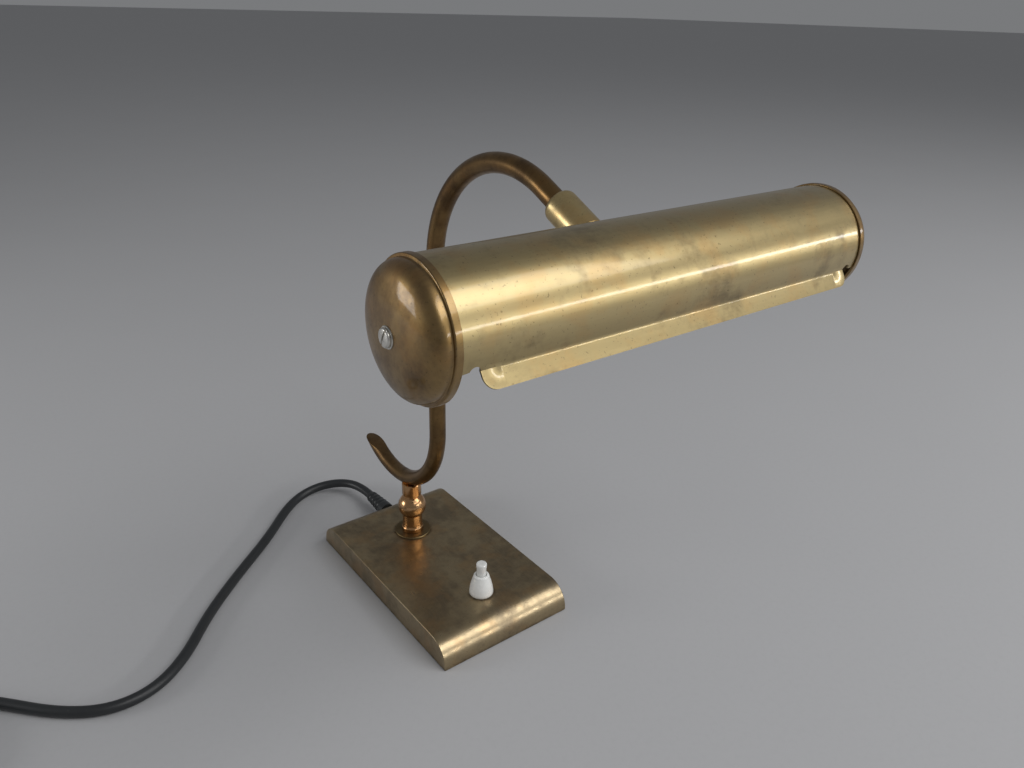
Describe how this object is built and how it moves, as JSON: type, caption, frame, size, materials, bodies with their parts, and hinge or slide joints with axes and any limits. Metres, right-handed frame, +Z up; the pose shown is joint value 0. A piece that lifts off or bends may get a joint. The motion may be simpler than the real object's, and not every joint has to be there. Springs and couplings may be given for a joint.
{
  "type": "desk lamp",
  "caption": "Brass desk lamp: weighted rectangular base with push switch, turned stem, bent arm with open hook, swivelling knuckle and a long tubular shade with domed ends.",
  "frame": {"origin": "centre of the felt underside of the base, on the table", "axes": "+X along the shade, to the right of someone facing the switch; -Y towards the shade and the switch; +Z up"},
  "size_m": [0.4843, 0.3265, 0.2821],
  "materials": {
    "aged_brass": "satin, tarnished",
    "copper_brass": "polished, coppery",
    "plain_brass": "machined",
    "nickel": "satin",
    "zinc_steel": "zinc plated",
    "iron": "as cast",
    "felt": "pressed felt",
    "white_plastic": "glossy",
    "cord_rubber": "satin",
    "black_plastic": "moulded",
    "holder_plastic": "moulded",
    "wire_plastic": "insulation",
    "nylon": "natural",
    "lamp_glass": "clear"
  },
  "bodies": {
    "stand": {"base_cover": "aged_brass", "base_weight": "iron", "base_plate": "zinc_steel", "base_felt": "felt", "plate_screws": "zinc_steel", "cord_clamp": "zinc_steel", "clamp_screws": "zinc_steel", "switch_body": "white_plastic", "switch_collar": "white_plastic", "switch_spring": "zinc_steel", "switch_terminals": "plain_brass", "stem_flange": "aged_brass", "stem_column": "copper_brass", "stem_nipple": "zinc_steel", "stem_washer": "zinc_steel", "stem_nut": "zinc_steel", "arm_tube": "copper_brass", "hook_plug": "plain_brass", "swivel_collar": "plain_brass", "base_wires": "wire_plastic", "arm_lead": "wire_plastic", "cord_boot": "cord_rubber", "cord_inner_end": "cord_rubber", "cord_lead": "cord_rubber", "cord_coil": "cord_rubber", "cord_tail": "cord_rubber", "coil_tie": "black_plastic", "plug_body": "black_plastic", "plug_pins": "plain_brass"},
    "button": {"switch_button": "white_plastic"},
    "swivel": {"swivel_washer": "nylon", "ferrule": "aged_brass", "knuckle_fork": "plain_brass", "friction_washers": "nylon", "pivot_screw": "nickel", "pivot_nut": "nickel"},
    "shade": {"knuckle_tongue": "plain_brass", "stud_saddle": "plain_brass", "stud_nut": "zinc_steel", "shade_tube": "aged_brass", "end_cap_left": "aged_brass", "end_cap_right": "aged_brass", "cap_screws": "nickel", "cap_washers": "nickel", "cap_nuts": "zinc_steel", "holder_brackets": "zinc_steel", "bracket_screws": "zinc_steel", "lampholders": "holder_plastic", "holder_nuts": "plain_brass", "bulb_caps": "nickel", "bulb_glasses": "lamp_glass", "shade_rail": "zinc_steel", "terminal_block": "holder_plastic", "shade_wires": "wire_plastic"}
  },
  "joints": [
    {"name": "button_press", "type": "slide", "parent": "stand", "child": "button", "axis": [0, 0, -1], "range_m": [0, 0.003], "stiffness_N_per_m": 500, "springref_m": -0.002, "deforming": ["switch_spring"]},
    {"name": "head_swivel", "type": "hinge", "parent": "stand", "child": "swivel", "pos_m": [0, -0.09178, 0.27081], "axis": [0, -0.9011, -0.4337], "range_deg": [-60, 60]},
    {"name": "shade_tilt", "type": "hinge", "parent": "swivel", "child": "shade", "pos_m": [0, -0.12647, 0.25411], "axis": [1, 0, 0], "range_deg": [-45, 45]}
  ]
}
